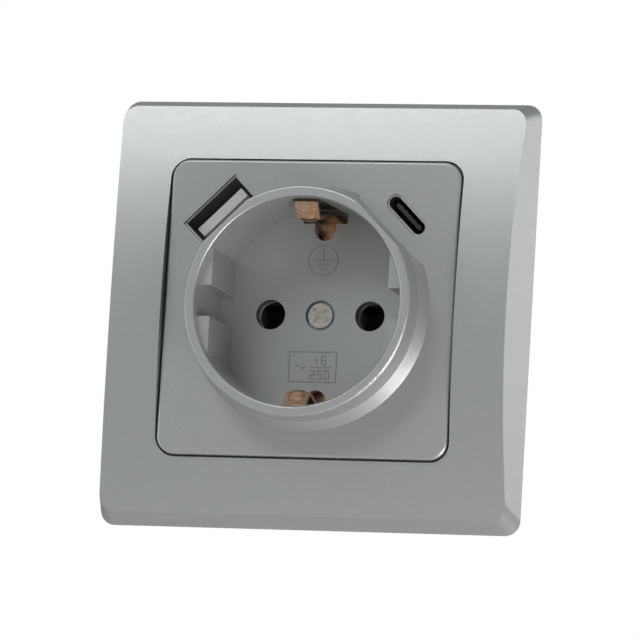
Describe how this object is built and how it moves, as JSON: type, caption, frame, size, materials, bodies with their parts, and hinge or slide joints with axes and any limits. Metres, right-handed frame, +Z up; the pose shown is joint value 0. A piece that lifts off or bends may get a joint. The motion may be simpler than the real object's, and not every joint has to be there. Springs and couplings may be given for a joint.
{
  "type": "usb wall socket",
  "caption": "Flush wall outlet for round two-pin earthed plugs, square silver cover frame with arched front, round plug well and two charging ports set at forty-five degrees.",
  "frame": {"origin": "centre of the plug well's axis in the wall surface, midway between the two box screw holes", "axes": "+Y into the wall, front toward -Y, +X right, +Z up"},
  "size_m": [0.08, 0.0498, 0.08],
  "materials": {
    "silver_frame": "silver painted plastic, satin",
    "silver_plate": "silver painted plastic, satin",
    "zinc_steel": "zinc plated",
    "white_insulator": "moulded, matt",
    "contact_brass": "stamped, bright",
    "contact_bronze": "bronze spring strip",
    "nickel_screw": "nickel plated",
    "port_shell": "bright plated",
    "grey_tongue": "moulded",
    "dark_tongue": "moulded",
    "gold_contact": "gold plated",
    "board_green": "solder mask",
    "ferrite": "sintered",
    "winding_tape": "tape wrapped",
    "can_sleeve": "shrink sleeve",
    "chip_black": "moulded"
  },
  "bodies": {
    "socket": {"cover_frame": "silver_frame", "centre_plate": "silver_plate", "support_ring": "zinc_steel", "ring_rivets": "zinc_steel", "socket_base": "white_insulator", "rear_housing": "white_insulator", "contact_divider": "white_insulator", "live_contact": "contact_brass", "neutral_contact": "contact_brass", "earth_bow": "contact_bronze", "live_terminal": "contact_brass", "neutral_terminal": "contact_brass", "earth_terminal": "contact_brass", "centre_screw": "nickel_screw", "screw_insert": "contact_brass", "housing_screws": "zinc_steel", "usb_a_shell": "port_shell", "usb_c_shell": "port_shell", "usb_a_tongue": "grey_tongue", "usb_c_tongue": "dark_tongue", "usb_a_contacts": "gold_contact", "usb_c_contacts": "gold_contact", "port_board": "board_green", "power_board": "board_green", "board_pins": "gold_contact", "mains_leads": "contact_brass", "transformer_core": "ferrite", "transformer_winding": "winding_tape", "transformer_feet": "dark_tongue", "input_capacitor": "can_sleeve", "output_capacitor": "can_sleeve", "filter_choke": "ferrite", "bridge_rectifier": "chip_black", "control_chip": "chip_black"},
    "right_claw": {"right_claw": "zinc_steel"},
    "left_claw": {"left_claw": "zinc_steel"},
    "right_claw_screw": {"right_claw_screw": "zinc_steel"},
    "left_claw_screw": {"left_claw_screw": "zinc_steel"},
    "live_terminal_screw": {"live_terminal_screw": "zinc_steel"},
    "neutral_terminal_screw": {"neutral_terminal_screw": "zinc_steel"},
    "earth_terminal_screw": {"earth_terminal_screw": "zinc_steel"}
  },
  "joints": [
    {"name": "right_claw_screw_turn", "type": "hinge", "parent": "socket", "child": "right_claw_screw", "pos_m": [0.027, 0, 0], "axis": [0, 1, 0], "range_deg": [0, 900]},
    {"name": "right_claw_swing", "type": "hinge", "parent": "socket", "child": "right_claw", "pos_m": [0.0236, 0.0032, 0], "axis": [0, 0, -1], "range_deg": [0, 20]},
    {"name": "left_claw_screw_turn", "type": "hinge", "parent": "socket", "child": "left_claw_screw", "pos_m": [-0.027, 0, 0], "axis": [0, 1, 0], "range_deg": [0, 900]},
    {"name": "left_claw_swing", "type": "hinge", "parent": "socket", "child": "left_claw", "pos_m": [-0.0236, 0.0032, 0], "axis": [0, 0, 1], "range_deg": [0, 20]},
    {"name": "live_terminal_screw_slide", "type": "slide", "parent": "socket", "child": "live_terminal_screw", "axis": [0, 0, -1], "range_m": [0, 0.0015]},
    {"name": "neutral_terminal_screw_slide", "type": "slide", "parent": "socket", "child": "neutral_terminal_screw", "axis": [0, 0, -1], "range_m": [0, 0.0015]},
    {"name": "earth_terminal_screw_slide", "type": "slide", "parent": "socket", "child": "earth_terminal_screw", "axis": [0, 0, -1], "range_m": [0, 0.0015]}
  ],
  "couplings": [
    {"joint": "right_claw_swing", "follows": "right_claw_screw_turn", "ratio": 0.02},
    {"joint": "left_claw_swing", "follows": "left_claw_screw_turn", "ratio": 0.02}
  ]
}
